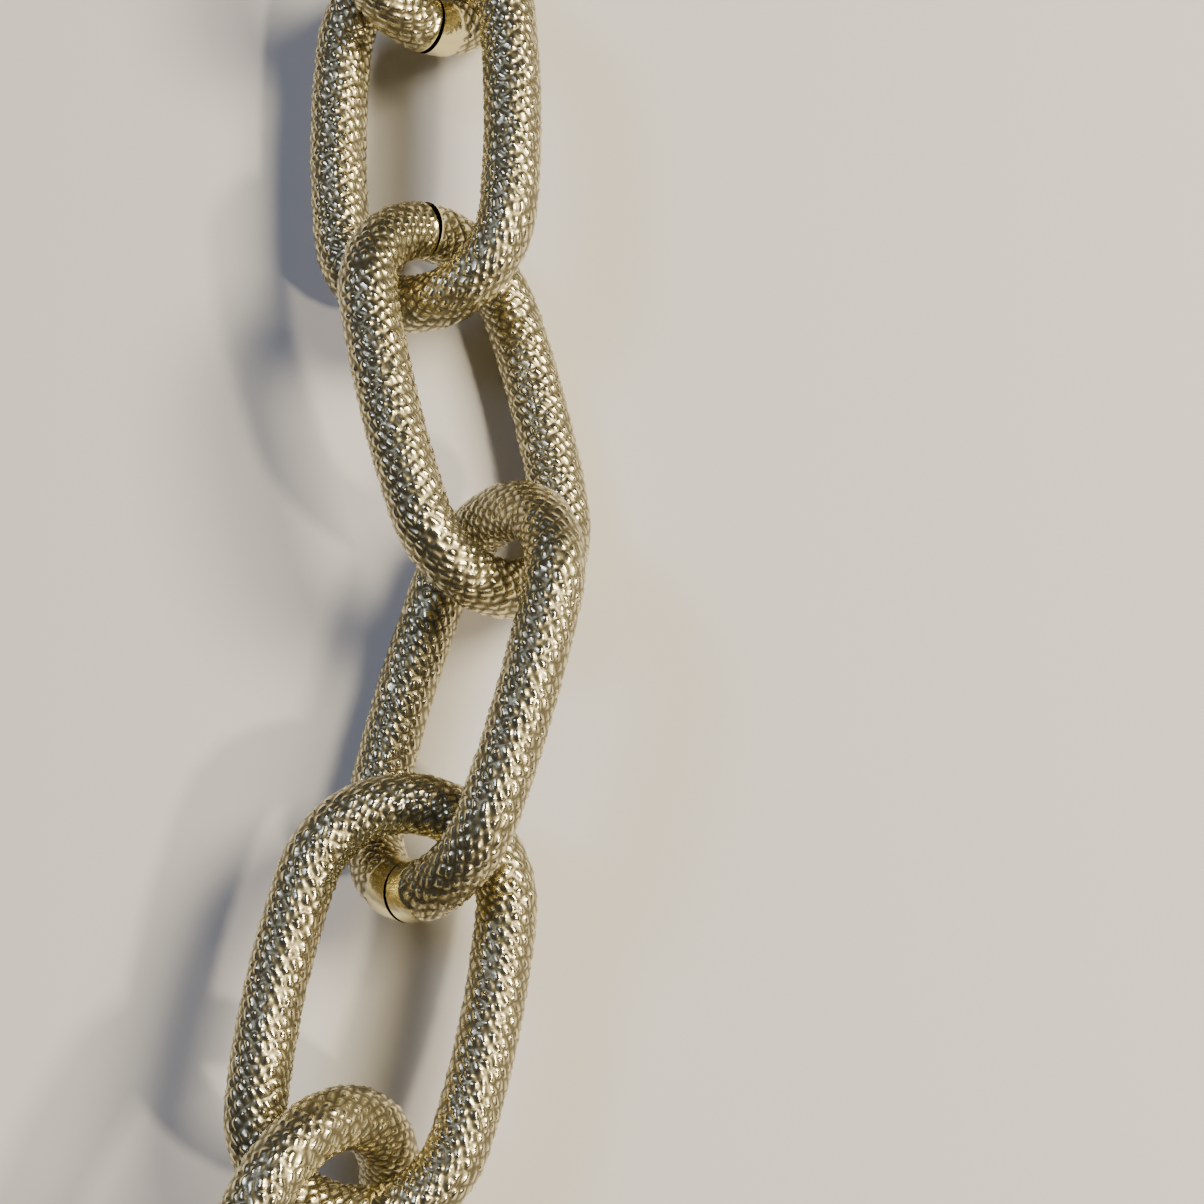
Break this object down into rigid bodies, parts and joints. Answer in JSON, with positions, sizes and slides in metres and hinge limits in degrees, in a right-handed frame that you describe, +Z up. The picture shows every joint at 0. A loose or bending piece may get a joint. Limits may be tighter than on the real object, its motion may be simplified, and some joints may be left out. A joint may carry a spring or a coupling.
{
  "type": "oval link chain necklace",
  "caption": "Chunky necklace of long oval links in scale-textured gold wire, laid open in a gentle S, with jump rings and a lobster clasp.",
  "frame": {"origin": "on the table under the middle of the laid-out chain's bounding box", "axes": "+Y along the longer way of the laid-out S, towards the clasp end, +Z up from the table"},
  "size_m": [0.2532, 0.3146, 0.0237],
  "materials": {
    "embossed_gold_aluminium": "embossed round wire, light gold anodised",
    "gold_plated_brass": "polished, light gold plated",
    "spring_steel": "bright spring strip"
  },
  "bodies": {
    "link_07": {"link_07": "embossed_gold_aluminium"},
    "link_01": {"link_01": "embossed_gold_aluminium"},
    "link_02": {"link_02": "embossed_gold_aluminium"},
    "link_03": {"link_03": "embossed_gold_aluminium"},
    "link_04": {"link_04": "embossed_gold_aluminium"},
    "link_05": {"link_05": "embossed_gold_aluminium"},
    "link_06": {"link_06": "embossed_gold_aluminium"},
    "link_08": {"link_08": "embossed_gold_aluminium"},
    "link_09": {"link_09": "embossed_gold_aluminium"},
    "link_10": {"link_10": "embossed_gold_aluminium"},
    "link_11": {"link_11": "embossed_gold_aluminium"},
    "link_12": {"link_12": "embossed_gold_aluminium"},
    "link_13": {"link_13": "embossed_gold_aluminium"},
    "link_14": {"link_14": "embossed_gold_aluminium"},
    "jump_ring_a": {"jump_ring_a": "gold_plated_brass"},
    "clasp": {"clasp_body": "gold_plated_brass", "lever_pin": "gold_plated_brass", "lever_spring": "spring_steel"},
    "lever": {"clasp_lever": "gold_plated_brass"},
    "jump_ring_b": {"jump_ring_b": "gold_plated_brass"}
  },
  "joints": [
    {"name": "link_06_swing", "type": "hinge", "parent": "link_07", "child": "link_06", "pos_m": [0.00746, 0.00885, 0.01014], "axis": [0, 0, 1], "range_deg": [-15, 24]},
    {"name": "link_05_lift", "type": "hinge", "parent": "link_06", "child": "link_05", "pos_m": [0.00659, 0.03938, 0.01009], "axis": [0.9997, -0.0262, 0], "range_deg": [0, 30]},
    {"name": "link_04_swing", "type": "hinge", "parent": "link_05", "child": "link_04", "pos_m": [0.00809, 0.06974, 0.01004], "axis": [0, 0, 1], "range_deg": [-30, 45]},
    {"name": "link_03_lift", "type": "hinge", "parent": "link_04", "child": "link_03", "pos_m": [0.01882, 0.09798, 0.00994], "axis": [0.8572, -0.515, 0], "range_deg": [0, 30]},
    {"name": "link_02_swing", "type": "hinge", "parent": "link_03", "child": "link_02", "pos_m": [0.03867, 0.12076, 0.00994], "axis": [0, 0, 1], "range_deg": [-30, 45]},
    {"name": "link_01_lift", "type": "hinge", "parent": "link_02", "child": "link_01", "pos_m": [0.06473, 0.13571, 0.00954], "axis": [0.3746, -0.9272, 0], "range_deg": [0, 20]},
    {"name": "link_08_swing", "type": "hinge", "parent": "link_07", "child": "link_08", "pos_m": [0.01706, -0.02051, 0.01059], "axis": [0, 0, 1], "range_deg": [-28, 40]},
    {"name": "link_09_swing", "type": "hinge", "parent": "link_08", "child": "link_09", "pos_m": [0.00758, -0.04917, 0.01109], "axis": [0, 0, 1], "range_deg": [-12, 10]},
    {"name": "link_10_swing", "type": "hinge", "parent": "link_09", "child": "link_10", "pos_m": [0.0028, -0.07844, 0.01164], "axis": [0, 0, 1], "range_deg": [-12, 18]},
    {"name": "link_11_lift", "type": "hinge", "parent": "link_10", "child": "link_11", "pos_m": [-0.00945, -0.10558, 0.01134], "axis": [-0.8339, 0.5519, 0], "range_deg": [0, 28]},
    {"name": "link_12_swing", "type": "hinge", "parent": "link_11", "child": "link_12", "pos_m": [-0.0293, -0.12815, 0.01029], "axis": [0, 0, 1], "range_deg": [-15, 45]},
    {"name": "link_13_lift", "type": "hinge", "parent": "link_12", "child": "link_13", "pos_m": [-0.05572, -0.14279, 0.00994], "axis": [-0.3338, 0.9426, 0], "range_deg": [0, 30]},
    {"name": "link_14_swing", "type": "hinge", "parent": "link_13", "child": "link_14", "pos_m": [-0.08547, -0.148, 0.00954], "axis": [0, 0, 1], "range_deg": [-36, 36]},
    {"name": "jump_ring_a_lift", "type": "hinge", "parent": "link_01", "child": "jump_ring_a", "pos_m": [0.0978, 0.14336, 0.00914], "axis": [0.1957, -0.785, -0.5878], "range_deg": [0, 50]},
    {"name": "clasp_swing", "type": "hinge", "parent": "jump_ring_a", "child": "clasp", "pos_m": [0.10366, 0.14689, 0.00578], "axis": [0.1851, 0.0462, 0.9816], "range_deg": [-35, 35]},
    {"name": "lever_open", "type": "hinge", "parent": "clasp", "child": "lever", "pos_m": [0.11108, 0.15039, 0.00422], "axis": [-0.1851, -0.0462, -0.9816], "range_deg": [0, 18], "stiffness_Nm_per_rad": 0.01, "springref_deg": -17.19, "deforming": ["lever_spring"]},
    {"name": "jump_ring_b_lift", "type": "hinge", "parent": "link_14", "child": "jump_ring_b", "pos_m": [-0.11915, -0.14265, 0.00914], "axis": [0.1126, 0.8011, 0.5878], "range_deg": [0, 50]}
  ]
}
